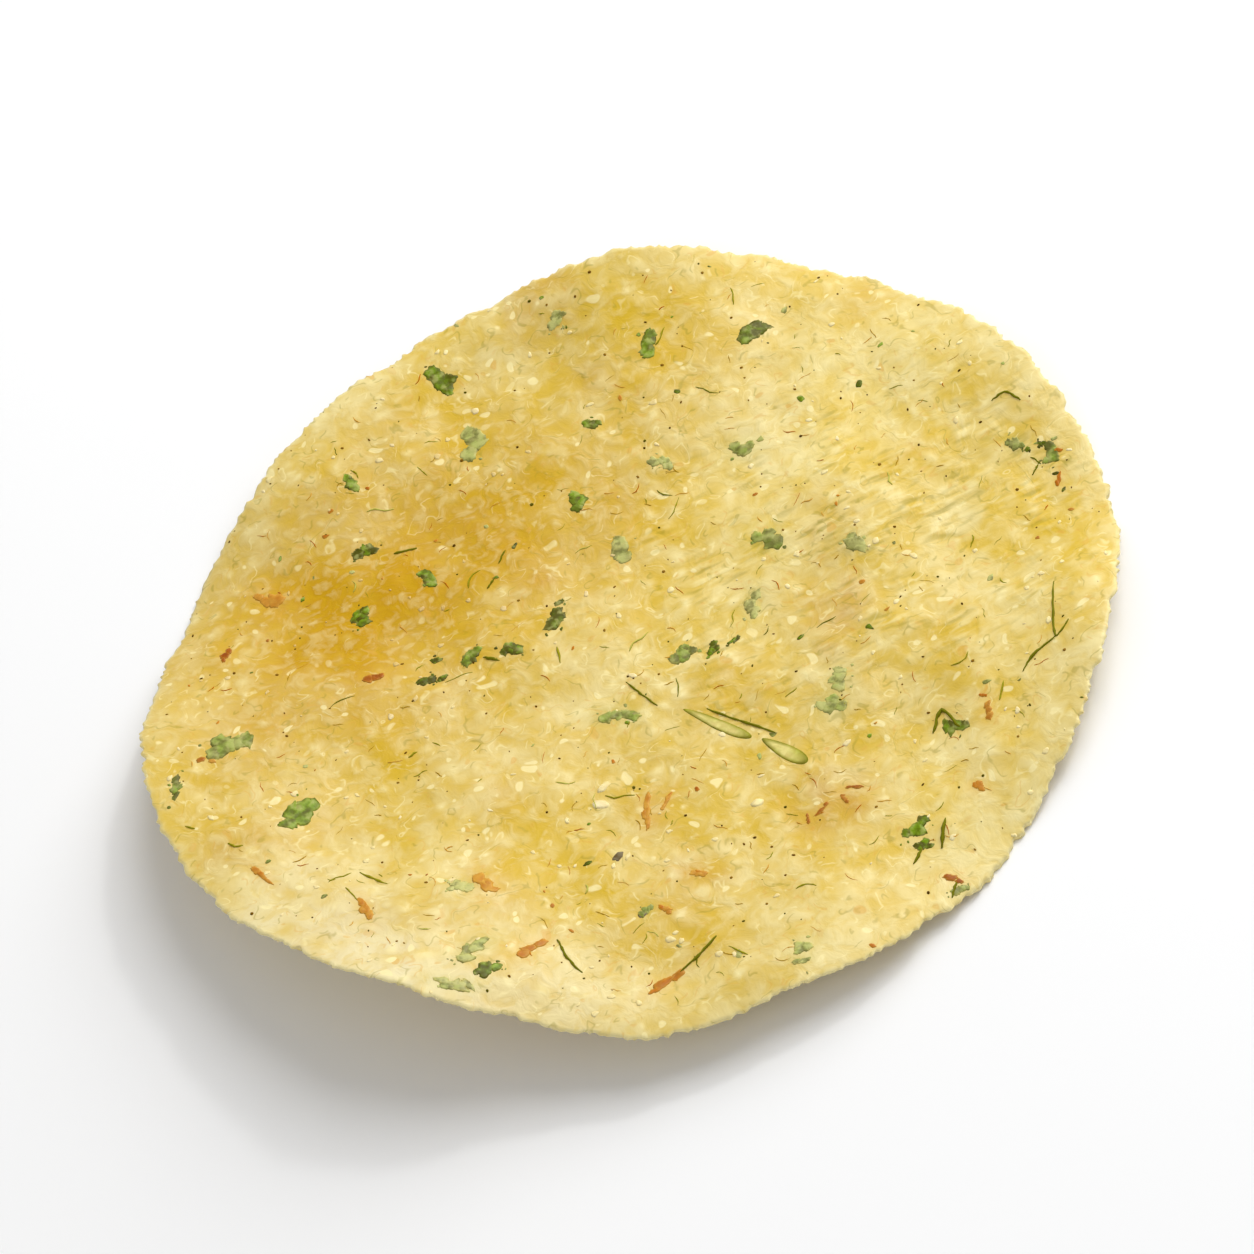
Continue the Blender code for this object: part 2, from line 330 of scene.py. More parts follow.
# Tubes of stems and threads
THREAD_SIDES = 6
THREAD_LIFT = 0.3
STEM_SAMPLES = 6
STEM_BENDS = 0.4
STEM_KNOTS = 0.35
STEM_TIP = 0.4

# Flakes as meshes: rings, sides, and in metres how far they stand out, how deep they sit, their crinkles
LARGE_FLAKE = (4, 26, 0.00006, 0.00025, 0.00005)
SMALL_FLAKE = (3, 13, 0.00004, 0.0002, 0.00003)
GRAIN_SHAPE = (2, 12, 0.00004, 0.0002, 0.00003)
FLAKE_CORNERS = (5, 9)
FLAKE_REACH = (0.62, 1.25)
FLAKE_FRAY = 0.13
FLAKE_EDGE = 0.00002
CORNER_SHIFT = 0.28
CORNER_WEIGHT = 6
NOISE_LAYERS = 100
CRINKLE_PITCH = 0.7
CRINKLE_FADE = 0.6
PULL_INWARD = 0.995
POD_GIRTH = 0.8
POD_BULB = 0.3

# The lobes that a large flake is made of: sizes and shifts as shares of the flake's
LEAF_LOBES = (3, 5)
LEAF_LOBE_TURN = 55
CHILLI_LOBES = (2, 3)
CHILLI_LOBE_TURN = 14
LOBE_MIDDLE = 0.72
LOBE_STRING = 0.3
LOBE_SLIDE = 0.06
LOBE_STRAY = 0.26
LOBE_LENGTH = (0.4, 0.62)
LOBE_WIDTH = (0.55, 0.95)
LOBE_FRESHNESS = 0.3

# Crumbs beside a large leaf
SATELLITES = (0, 3)
SATELLITE_AHEAD = (1.0, 1.5)
SATELLITE_ASIDE = (1.0, 1.6)
SATELLITE_SIZE = (0.2, 0.6)
SATELLITE_SLIMNESS = (0.5, 1.0)

# How veiled the flakes spread by chance may be
LEAF_VEILS = (0.0, 0.1, 0.4, 0.8)
CHILLI_VEILS = (0.0, 0.2, 0.6)

# How small things vary in colour: middle, range, distance between patches in millimetres, noise layer
LEAF_GREENS = (0.0, 1.3, 0.9, 0.0)
LEAF_VEIL = (0.9, 0.7, 1.5, 5.0)
LEAF_EDGE_CLOUDS = (0.5, 1.6, 1.3, 9.0)
POD_CREAM = (0.4, 0.8, 1.4, 0.0)
POD_DARK = (0.4, 1.5, 2.0, 3.0)
CHILLI_REDS = (0.0, 0.6, 0.9, 0.0)
CHILLI_VEIL = (0.8, 0.9, 0.9, 0.0)
SEED_BROWNS = (0.15, 0.9, 0.6, 0.0)
GRAIN_PAINTED_GLINTS = (0.0, 0.9, 3.0, 0.0)

# Edges of flakes: start and width from 0 at the middle to 1, least veil and how much a veiled flake adds
LEAF_EDGE = (0.6, 0.4)
POD_EDGE = (0.62, 0.25)
CHILLI_EDGE = (0.5, 0.5)
LEAF_EDGE_VEIL = (0.25, 0.6)
CHILLI_EDGE_VEIL = (0.5, 0.4)
CREAMY_VEIL = 0.7
DARK_EDGE_VEIL = 0.8

# Relief of the faces: height, distance between bumps, layer of noise
SWELLS = ((0.0005, 0.017, 9.3), (0.00028, 0.009, 4.8))
SWELLS_FADE = 0.008
RELIEF = ((0.00026, 0.007, 1.3), (0.00012, 0.003, 2.7), (0.00004, 0.0014, 6.1))
GRAIN_RELIEF = 0.00006
EDGE_BULGE = 0.00003

# How the dough's colour varies, with clouds given as for small things, but in metres
PALE_SHARE = 0.27
TONE_CLOUDS = (
    (0.0, 0.8, 0.015, 1.1),
    (0.0, 0.66, 0.0078, 5.3),
    (0.0, 0.64, 0.0042, 2.2),
    (0.0, 0.6, 0.0022, 3.1),
)
# The golden zone, partly painted shade: its ragged cloud, and how much crumbs still show in it
GOLDEN_CLOUDS = (1.0, 0.4, 0.006, 8.8)
GOLDEN_CRUMBS = 0.3
OCHRE_SHARE = 0.3
OCHRE_CLOUDS = (0.03, 0.3, 0.008, 3.3)
BROWN_CLOUDS = (0.7, 0.6, 0.0022, 4.4)
# The paler rim, partly a painted glow of light through the thin edge: share and width in metres of each band,
# and how pale the edge strip is
PALE_RIM_SHARES = ((0.75, 0.0004), (0.2, 0.005))
EDGE_PALENESS = 0.6
STAIN_SHARE = 0.35
STAINING_VEIL = 0.4
LEAF_STAIN_SPREAD = 1.35
CHILLI_STAIN_SPREAD = 1.7
GRAIN_SHARE = 0.62
GRAIN_CLOUDS = (0.7, 1.4, 0.0011, 6.6)
GRAIN_SPREAD = 0.8

# Noises of the materials are given as distance between patches and amount of finer detail

# Steps of a noise are given as from, to, the share of the tint at each of these, and the tint

# Sockets of a node that mixes two colours: their share, the first and the second
MIX_SOCKETS = (0, 6, 7)

# Soft clouds of the dough, bent by a slow warp
NOISE_MIDDLE = (0.5, 0.5, 0.5)
WARP_NOISE = (0.003, 1.0)
WARP_REACH = 0.0032
CLOUD_NOISE = (0.0013, 3.0)
CLOUD_STEPS = ((0.36, 0.5, 0.24, 0.0, POOL), (0.5, 0.66, 0.0, 0.28, CLOUD))

# Fine wrinkles, with painted shade in their troughs and a painted highlight on their crests: where, in
# millimetres, how much of that they cover, and how they run
WRINKLE_SPOT = (25, 1, 44, 36, 0)
WRINKLE_COVER = (0.8, 2.0, 0.0034, 7.7)
WRINKLE_TURN = math.radians(8)
WRINKLE_STRETCH = 3.6
WRINKLE_NOISE = (0.0008, 1.0)
WRINKLE_SHADE_STEPS = ((0.3, 0.46, 0.46, 0.0, CREASE_SHADE), (0.54, 0.7, 0.0, 0.45, HIGHLIGHT_STREAK))
WRINKLE_HEIGHT = 1.6

# Thin bent lines along levels of a cloudy field, here and there, the olive ones partly painted shade and the
# pale ones painted highlight: level, colour, share
LINE_NOISE = (0.003, 1.5)
LINE_PATCHES = (0.0015, 0.0)
LINE_PATCH_LEVELS = (0.54, 0.62)
LINE_WIDTH = 0.011
LINE_EDGES = (0.4, 1.6)
LINES = ((0.5, CREASE_SHADE, 0.38), (0.42, VEILED_CHILLI, 0.36), (0.57, HIGHLIGHT_STREAK, 0.44))

# Crumbs and orange dots, one in some of the cells of a pattern
CELL_PITCH = 0.0021
CELL_SMALLEST = 0.07
CELL_SPREAD = 0.17
CELL_EDGE = 0.06
CRUMB_DRAWS = (0.44, 0.7)
CRUMB_SHARE = 0.7
DOT_DRAWS = (0.06, 0.14)
DOT_SHARE = 0.5

# The blue of the dough below which lines and crumbs fade, because it is golden there, partly with painted
# shade
GOLDEN_BLUE = 0.06

# Leaf and skin
LEAF_NOISE = (0.00085, 2.0)
LEAF_STEPS = ((0.36, 0.54, 0.58, 0.0, DARK_EDGE), (0.52, 0.68, 0.0, 0.45, VEILED_LEAF))
SKIN_NOISE = (0.0006, 2.0)
SKIN_STEPS = ((0.42, 0.66, 0.25, 0.0, OCHRE),)

# How rough the surfaces are, and for each material how much it shines and its relief
ROUGHNESS = 0.38
SURFACES = {
    "dough": (0.22, 0.00012),
    "leaf": (0.16, 0.0001),
    "skin": (0.15, 0.00005),
    "stem": (0.02, 0.00002),
}

# Studio: floor, lights and the photograph's view
FLOOR_SIZE = 3.0
FLOOR_WHITE = (0.93, 0.93, 0.93)
FLOOR_ROUGHNESS = 0.9
LIGHTS = (
    ("key", (0.5, 0.42, 0.52), 0.9, 7.2),
    ("spark", (0.5, 0.42, 0.52), 0.08, 1.1),
    ("fill", (-0.55, -0.5, 0.5), 0.8, 1.3),
)
WORLD_LIGHT = 0.4
CAMERA_ELEVATION = math.radians(48.9)
CAMERA_ROLL = math.radians(18.9)
CAMERA_DISTANCE = 0.65
CAMERA_LENS = 185.0


def noise_at(x, y, pitch, layer):
    """Smooth noise, from about -1 to 1, at each point."""
    return np.array([noise.noise((a / pitch, b / pitch, layer)) for a, b in zip(x, y)])


def cloudy(x, y, look, side=1, shift=0.0):
    """A value that varies, as its middle, its range, the distance between patches and its layer say."""
    middle, size, pitch, layer = look
    return middle + size * noise_at(x, y, pitch, layer * side + shift)


def mix(first, second, share):
    """Colours between two colours, one for each share."""
    share = np.clip(np.asarray(share, float), 0, 1)[..., None]
    return first * (1 - share) + np.asarray(second) * share


def turned(along, across, turn, x=0.0, y=0.0):
    """The places some way along and across a direction in degrees, from a point."""
    cosine, sine = math.cos(math.radians(turn)), math.sin(math.radians(turn))
    return x + (along * cosine - across * sine), y + (along * sine + across * cosine)


def rim_radius(angle):
    """Distance from the middle to the rim of the solid, for each angle."""
    share = np.ones_like(angle)
    for bulges, size, first in OUTLINE_WAVES:
        share += size * np.cos(bulges * (angle - math.radians(first)))
    edge_x, edge_y = SHEET_RADIUS * np.cos(angle), SHEET_RADIUS * np.sin(angle)
    return share * SHEET_RADIUS + NIBBLE_DEPTH * noise_at(edge_x, edge_y, NIBBLE_PITCH, 0.0)


def sheet_height(x, y):
    """Height of the sheet's middle surface, as in the solid."""
    share = np.hypot(x, y) / SHEET_RADIUS
    angle = np.arctan2(y, x)
    height = DISH_DEPTH * share**DISH_POWER
    for crests, size, first, fading in RIM_WAVES:
        height = height + size * share**fading * np.cos(crests * (angle - math.radians(first)))
    for size, pitch, offset in BUMPS:
        height = height + size * noise_at(x, y, pitch, offset)
    return height + LEAN_ALONG_X * x + LEAN_ALONG_Y * y


def ring_angles(rings):
    """Share of the way to the last ring, and angle, of every point of a grid of rings."""
    counts = [max(1, SECTORS * number) for number in range(rings + 1)]
    share = np.repeat(np.arange(rings + 1), counts) / rings
    return share, np.concatenate([TAU * np.arange(count) / count for count in counts])


def fine_places():
    """Share of the way to the rim, and place, of every point of the fine grid, with its frayed fringe."""
    share, angle = ring_angles(RINGS)
    share = np.concatenate((share * (1 - FRINGE_WIDTH / SHEET_RADIUS), np.ones(RIM_COUNT)))
    angle = np.concatenate((angle, TAU * np.arange(RIM_COUNT) / RIM_COUNT))
    rim = rim_radius(angle)
    edge_x, edge_y = rim * np.cos(angle), rim * np.sin(angle)
    tip = np.exp(-((np.remainder(angle - TIP_ANGLE + math.pi, TAU) - math.pi) / TIP_WIDTH) ** 2)
    reach = share * rim + TIP_REACH * tip * share**TIP_POWER
    for size, pitch, layer in FRAY:
        reach -= size * share**FRAY_POWER * np.abs(noise_at(edge_x, edge_y, pitch, layer))
    nicks = NICK_DEPTH * np.abs(noise_at(edge_x, edge_y, NICK_PITCH, 0.0))
    reach -= np.where(share < 1, 0.0, nicks)
    return share, reach * np.cos(angle), reach * np.sin(angle)


def grid_faces():
    """The triangles of the fine grid: in each sector, rows that grow by one, then the fringe."""
    faces = []
    start = [0] + [1 + SECTORS * number * (number - 1) // 2 for number in range(1, RINGS + 1)]

    def corner(ring, sector, step):
        return start[ring] + (sector * ring + step) % max(1, SECTORS * ring)

    for ring in range(1, RINGS + 1):
        for sector in range(SECTORS):
            for step in range(ring):
                a, b = corner(ring, sector, step), corner(ring, sector, step + 1)
                c = corner(ring - 1, sector, step)
                faces.append((a, b, c))
                if step < ring - 1:
                    faces.append((c, b, corner(ring - 1, sector, step + 1)))
    count = RIM_COUNT // 2
    fringe = start[RINGS] + count
    for step in range(count):
        a, b = start[RINGS] + step, start[RINGS] + (step + 1) % count
        c, d, e = (fringe + (2 * step + number) % RIM_COUNT for number in range(3))
        faces += [(a, c, d), (a, d, b), (b, d, e)]
    return np.array(faces)


def blob(x, y, place, spread=1.0):
    """How near each point is to an oval spot: 1 at its middle, 0 well outside it."""
    spot_x, spot_y, length, width, turn = place[:5]
    along, across = turned(x / MILLIMETRE - spot_x, y / MILLIMETRE - spot_y, -turn)
    along, across = along / (length / 2 * spread), across / (width / 2 * spread)
    return np.exp(-(along**2 + across**2))


def disc(x, y, spot_x, spot_y, reach):
    """How near each point is to a round spot."""
    return blob(x, y, (spot_x, spot_y, 2 * reach, 2 * reach, 0))


def chance_place(chance, small, large, reach=CHANCE_REACH, slimness=CHANCE_SLIMNESS, start=0.0, end=TAU):
    """An oval of a size between two limits, at any place of the sheet between two angles."""
    angle = chance.uniform(start, end)
    radius = reach * math.sqrt(chance.random())
    length = chance.uniform(small, large)
    width = length * chance.uniform(*slimness)
    turn = chance.uniform(-90, 90)
    return radius * math.cos(angle), radius * math.sin(angle), length, width, turn


def crowded(x, y, places):
    """Whether a place is too near to another one."""
    return any(math.hypot(x - other[0], y - other[1]) < SCATTER_SPACING for other in places)


def scatter(count, start, end, keep_out, chance):
    """Places for flakes between two angles, each drawn by chance and kept if it is far from the rest."""
    places = []
    for draw in range(count * SCATTER_DRAWS):
        place = chance_place(chance, *SCATTER_LENGTH, SCATTER_REACH, SCATTER_SLIMNESS, start, end)
        if not crowded(*place[:2], places) and not keep_out(*place[:2]):
            places.append(place)
        if len(places) == count:
            break
    return places


def spread_flakes(lowest):
    """The solid's flakes that are spread by chance: for each face, its leaves and its chillies."""
    chance = random.Random(SCATTER_SEED)
    shown = LEAVES[:SOLID_LEAVES] + CHILLIES[:SOLID_CHILLIES]
    for draw in range(len(shown) * FLAKE_SIDES):
        chance.random()

    def near_shown_flake(x, y):
        return crowded(x, y, shown)

    def near_floor(x, y):
        height = sheet_height(np.array([x * MILLIMETRE]), np.array([y * MILLIMETRE]))[0]
        return height < lowest + SHEET_THICKNESS / 2 + FLOOR_CLEARANCE

    above = scatter(REST_COUNT, REST_FROM, REST_TO, near_shown_flake, chance)
    beneath = scatter(BENEATH_COUNT, 0.0, TAU, near_floor, chance)
    spread = {1: ([], []), -1: ([], [])}
    for side, places in ((1, above), (-1, beneath)):
        leaves, chillies = spread[side]
        for place in places:
            kind = chillies if chance.random() < CHILLI_SHARE else leaves
            kind.append(place)
            for draw in range(FLAKE_SIDES):
                chance.random()
    return spread


def sheet_normals(x, y):
    """Unit normals of the sheet's middle surface."""
    step = SHEET_THICKNESS / 2
    slope_x = (sheet_height(x + step, y) - sheet_height(x - step, y)) / (2 * step)
    slope_y = (sheet_height(x, y + step) - sheet_height(x, y - step)) / (2 * step)
    square = np.stack((-slope_x, -slope_y, np.ones_like(x)), axis=1)
    return square / np.linalg.norm(square, axis=1, keepdims=True)


def resting_place():
    """How the solid was set down: the middle of its box, and the height of its lowest point."""
    share, angle = ring_angles(SOLID_RINGS)
    reach = share * rim_radius(angle)
    x, y = reach * np.cos(angle), reach * np.sin(angle)
    middle = np.stack((x, y, sheet_height(x, y)), axis=1)
    square = sheet_normals(x, y) * SHEET_THICKNESS / 2
    points = np.concatenate((middle + square, middle - square))
    low, high = points.min(axis=0), points.max(axis=0)
    return (low[0] + high[0]) / 2, (low[1] + high[1]) / 2, low[2]


def grain_places(side, chance, count, small, large):
    """Pale grains of one face: those named for the shown face, and many by chance."""
    named = list(GRAINS) if side > 0 else []
    return named + [chance_place(chance, small, large) for number in range(count)]


def relief(x, y, side, grains):
    """How far one face stands out from the plain sheet: blisters, crumbs and grains."""
    height = np.zeros_like(x)
    for size, pitch, layer in RELIEF:
        height += size * noise_at(x, y, pitch, layer * side)
    return height + GRAIN_RELIEF * grains


def wrinkled(x, y, side):
    """How wrinkled one face is at each point, from 0 to 1."""
    where = blob(x, y, WRINKLE_SPOT)
    return np.clip(where * cloudy(x, y, WRINKLE_COVER, side), 0, 1)


def golden_shade_share(x, y, side):
    """How golden the dough of one face is at each point, from 0 to 1: partly a deeper tone, partly painted
    shade.
    """
    share = np.zeros_like(x)
    for spot_x, spot_y, reach, size in GOLDEN_SHADE_SPOTS if side > 0 else ():
        share += size * disc(x, y, spot_x, spot_y, reach)
    return np.clip(share * cloudy(x, y, GOLDEN_CLOUDS), 0, 1)


def brown_share(x, y, side, chance):
    """How browned the dough of one face is at each point: the stains named, and some by chance."""
    brown = np.zeros_like(x)
    spots = list(BROWN_SPOTS) if side > 0 else []
    for number in range(BROWN_CHANCE_COUNT):
        spot_x, spot_y, length = chance_place(chance, *BROWN_CHANCE_SIZE)[:3]
        spots.append((spot_x, spot_y, length / 2, chance.uniform(*BROWN_CHANCE_SHARE)))
    for spot_x, spot_y, reach, size in spots:
        brown += size * disc(x, y, spot_x, spot_y, reach)
    return brown * cloudy(x, y, BROWN_CLOUDS)


def face_tones(x, y, side, rim_distance, grains, leaves, chillies, chance):
    """The colour of the dough at each point of one face."""
    tones = mix(YELLOW, CREAM, np.full_like(x, PALE_SHARE))
    # Spots of the dough's own tone, mixed with painted light and shade
    for spot_x, spot_y, reach, colour, size in TONE_AND_PAINTED_LIGHT_SPOTS if side > 0 else ():
        tones = mix(tones, colour, size * disc(x, y, spot_x, spot_y, reach))
    tones = mix(tones, OCHRE, np.clip(cloudy(x, y, OCHRE_CLOUDS, side), 0, OCHRE_SHARE))
    for look in TONE_CLOUDS:
        cloud = cloudy(x, y, look, side)
        tones = mix(mix(tones, CLOUD, cloud), POOL, -cloud)
    # Golden zones, partly painted shade
    golden = golden_shade_share(x, y, side)
    tones = mix(tones, GOLDEN_SHADE, golden)
    # A paler rim, partly a painted glow of light through the thin edge
    for size, width in PALE_RIM_SHARES:
        tones = mix(tones, PALE_RIM_AND_GLOW, size * np.exp(-((rim_distance / width) ** 2)))
    tones = mix(tones, BROWNED, brown_share(x, y, side, chance))
    for place in leaves:
        if len(place) > 5 and place[5] > STAINING_VEIL:
            tones = mix(tones, LEAF_STAIN, STAIN_SHARE * blob(x, y, place, LEAF_STAIN_SPREAD))
    for place in chillies:
        tones = mix(tones, VEILED_CHILLI, STAIN_SHARE * blob(x, y, place, CHILLI_STAIN_SPREAD))
    crumbs = GRAIN_SHARE * grains * cloudy(x, y, GRAIN_CLOUDS, side)
    return mix(tones, GRAIN, crumbs * (1 - (1 - GOLDEN_CRUMBS) * golden))


def make_material(name, tune):
    """A material whose colour comes from the piece's own tones, varied by the tune function."""
    specular, bump = SURFACES[name]
    material = bpy.data.materials.new(name)
    material.use_nodes = True
    tree = material.node_tree
    shader = tree.nodes["Principled BSDF"]
    shader.inputs["Roughness"].default_value = ROUGHNESS
    shader.inputs["Specular IOR Level"].default_value = specular
    tones = add_node(tree, "ShaderNodeAttribute", attribute_name="tone")
    place = add_node(tree, "ShaderNodeTexCoord").outputs["Object"]
    colour, height = tune(tree, tones, place)
    dent = add_node(tree, "ShaderNodeBump", {"Distance": bump, "Height": height})
    tree.links.new(colour, shader.inputs["Base Color"])
    tree.links.new(dent.outputs["Normal"], shader.inputs["Normal"])
    return material


def add_node(tree, kind, inputs=(), **settings):
    """A node with its settings, and with its inputs set to a value or linked to a socket."""
    node = tree.nodes.new(kind)
    for name, value in settings.items():
        setattr(node, name, value)
    for name, value in dict(inputs).items():
        if isinstance(value, bpy.types.NodeSocket):
            tree.links.new(value, node.inputs[name])
        else:
            node.inputs[name].default_value = value
    return node


def mottle(tree, place, pitch, detail):
    """Cloudy noise with a given distance between its patches."""
    inputs = {"Vector": place, "Scale": 1 / pitch, "Detail": detail}
    return add_node(tree, "ShaderNodeTexNoise", inputs)


def between(tree, value, low, high, start=0.0, end=1.0):
    """A value taken from one range to another, and held inside it."""
    inputs = {"Value": value, "From Min": low, "From Max": high, "To Min": start, "To Max": end}
    return add_node(tree, "ShaderNodeMapRange", inputs, clamp=True).outputs["Result"]


def calculate(tree, operation, first, second):
    """One sum of two values, each a number or a socket."""
    return add_node(tree, "ShaderNodeMath", {0: first, 1: second}, operation=operation).outputs[0]


def multiply(tree, first, second):
    return calculate(tree, "MULTIPLY", first, second)


def blend_colours(tree, share, first, second, way="MIX"):
    """A colour mixed with a plain colour by a share."""
    inputs = dict(zip(MIX_SOCKETS, (share, first, (*second, 1.0))))
    return add_node(tree, "ShaderNodeMix", inputs, data_type="RGBA", blend_type=way).outputs[2]


def contour(tree, field, level, where):
    """Thin bent lines along one level of a cloudy field, broken up by another."""
    away = calculate(tree, "ABSOLUTE", calculate(tree, "SUBTRACT", field, level), 0.0)
    inner, outer = (LINE_WIDTH * edge for edge in LINE_EDGES)
    return multiply(tree, between(tree, away, inner, outer, 1.0, 0.0), where)


def warp(tree, place):
    """The places, each moved a little by cloudy noise, so that what is drawn on them bends."""
    moved = mottle(tree, place, *WARP_NOISE).outputs["Color"]
    for operation, inputs in (
        ("SUBTRACT", {1: NOISE_MIDDLE}),
        ("SCALE", {"Scale": WARP_REACH}),
        ("ADD", {1: place}),
    ):
        moved = add_node(tree, "ShaderNodeVectorMath", {0: moved, **inputs}, operation=operation).outputs[0]
    return moved


def tint(tree, mark, share, colour, tone):
    """A colour tinted where a mark is, by a share."""
    return blend_colours(tree, multiply(tree, mark, share), colour, tone)


def shade(tree, field, steps, colour, where=None, way="MIX"):
    """A colour tinted where a noise is low or high, as the steps say."""
    for low, high, first, last, tone in steps:
        share = between(tree, field, low, high, first, last)
        if where is not None:
            share = multiply(tree, share, where)
        colour = blend_colours(tree, share, colour, tone, way)
    return colour


def channels(tree, colour):
    """The red, green and blue of a colour."""
    split = add_node(tree, "ShaderNodeSeparateColor", {"Color": colour})
    return [split.outputs[name] for name in ("Red", "Green", "Blue")]


def wrinkles(tree, place):
    """Fine wrinkles: the ridges of a stretched noise."""
    turn, stretch = (0.0, 0.0, WRINKLE_TURN), (WRINKLE_STRETCH, 1.0, 1.0)
    inputs = {"Vector": place, "Rotation": turn, "Scale": stretch}
    stretched = add_node(tree, "ShaderNodeMapping", inputs, vector_type="TEXTURE").outputs[0]
    return mottle(tree, stretched, *WRINKLE_NOISE).outputs["Fac"]


def add_lines(tree, place, warped, pale, colour):
    """Thin bent lines over the dough's colour, partly painted shade and highlight, fainter where the dough is
    golden.
    """
    field = mottle(tree, warped, *LINE_NOISE).outputs["Fac"]
    patches = channels(tree, mottle(tree, place, *LINE_PATCHES).outputs["Color"])
    for (level, tone, share), patch in zip(LINES, patches):
        where = multiply(tree, between(tree, patch, *LINE_PATCH_LEVELS), pale)
        colour = tint(tree, contour(tree, field, level, where), share, colour, tone)
    return colour


def add_crumbs(tree, warped, pale, colour):
    """Pale crumbs and faint orange dots over the dough's colour, in some of the cells of a pattern."""
    inputs = {"Vector": warped, "Scale": 1 / CELL_PITCH}
    cells = add_node(tree, "ShaderNodeTexVoronoi", inputs, feature="F1")
    draw, size_draw = channels(tree, cells.outputs["Color"])[:2]
    reach = multiply(tree, size_draw, CELL_SPREAD)
    near = calculate(tree, "SUBTRACT", cells.outputs["Distance"], reach)
    near = between(tree, near, CELL_SMALLEST, CELL_SMALLEST + CELL_EDGE, 1.0, 0.0)
    crumb = multiply(tree, near, between(tree, draw, *CRUMB_DRAWS))
    colour = tint(tree, multiply(tree, crumb, pale), CRUMB_SHARE, colour, GRAIN)
    dot = multiply(tree, near, between(tree, draw, *DOT_DRAWS, 1.0, 0.0))
    return tint(tree, dot, DOT_SHARE, colour, VEILED_CHILLI)


def tune_dough(tree, tones, place):
    """Dough: soft clouds, thin bent lines, pale crumbs, faint orange dots and fine wrinkles, with painted
    shade and highlight along the lines and wrinkles.
    """
    warped = warp(tree, place)
    cloud = mottle(tree, warped, *CLOUD_NOISE).outputs["Fac"]
    colour = shade(tree, cloud, CLOUD_STEPS, tones.outputs["Color"])
    blue = channels(tree, tones.outputs["Color"])[2]
    pale = between(tree, blue, 0.0, GOLDEN_BLUE, GOLDEN_CRUMBS, 1.0)
    colour = add_lines(tree, place, warped, pale, colour)
    colour = add_crumbs(tree, warped, pale, colour)
    ridges, where = wrinkles(tree, place), tones.outputs["Alpha"]
    # Painted shade in the wrinkles' troughs and a painted highlight on their crests
    colour = shade(tree, ridges, WRINKLE_SHADE_STEPS, colour, where)
    raised = multiply(tree, multiply(tree, ridges, where), WRINKLE_HEIGHT)
    return colour, calculate(tree, "ADD", cloud, raised)


def tune_leaf(tree, tones, place):
    """Leaf: darker and paler patches."""
    grain = mottle(tree, place, *LEAF_NOISE).outputs["Fac"]
    return shade(tree, grain, LEAF_STEPS, tones.outputs["Color"]), grain


def tune_skin(tree, tones, place):
    """Chilli, grains and stems: a smooth skin with slight mottling."""
    grain = mottle(tree, place, *SKIN_NOISE).outputs["Fac"]
    return shade(tree, grain, SKIN_STEPS, tones.outputs["Color"], way="MULTIPLY"), grain


def add_object(name, data):
    """An object in the scene."""
    added = bpy.data.objects.new(name, data)
    bpy.context.scene.collection.objects.link(added)
    return added


def new_piece(name, points, faces, tones, material, shift):
    """A smooth piece, set down as the solid was, with a colour and perhaps a wrinkling at each point."""
    settled = points - np.array(shift)
    settled[:, 2] = np.maximum(settled[:, 2], 0.0)
    mesh = bpy.data.meshes.new(name)
    mesh.from_pydata(settled.tolist(), [], faces.tolist())
    mesh.polygons.foreach_set("use_smooth", [True] * len(faces))
    layer = mesh.color_attributes.new("tone", "FLOAT_COLOR", "POINT")
    colours = np.ones((len(points), 4))
    colours[:, :tones.shape[1]] = tones
    layer.data.foreach_set("color", colours.ravel())
    mesh.materials.append(material)
    mesh.update()
    piece = add_object(name, mesh)
    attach(piece, "root")
    return piece


def make_sheet(faces_of, material, shift):
    """The whole sheet: both faces, joined round the rim by a narrow edge."""
    top, top_faces, top_tones = faces_of[1]
    beneath, beneath_faces, beneath_tones = faces_of[-1]
    outer = np.arange(len(top) - RIM_COUNT, len(top))
    middle = (top[outer] + beneath[outer]) / 2
    outward = middle.copy()
    outward[:, 2] = 0
    outward /= np.linalg.norm(outward, axis=1, keepdims=True)
    middle += outward * EDGE_BULGE
    points = np.concatenate((top, beneath, middle))
    # The edge strip paler still, partly a painted glow of light through it
    edge_tones = mix(top_tones[outer], (*PALE_RIM_AND_GLOW, 0.0), EDGE_PALENESS)
    tones = np.concatenate((top_tones, beneath_tones, edge_tones))
    below = outer + len(top)
    edge = np.arange(RIM_COUNT) + len(top) + len(beneath)
    sheet_faces = np.concatenate((top_faces, beneath_faces[:, ::-1] + len(top)))
    faces = np.concatenate((sheet_faces, strip(outer, edge), strip(edge, below)))
    sheet = new_piece("papadum_sheet", points, faces, tones, material, shift)
    sheet.data.polygons.foreach_set("use_smooth", np.arange(len(faces)) < len(sheet_faces))
    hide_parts("papadum")


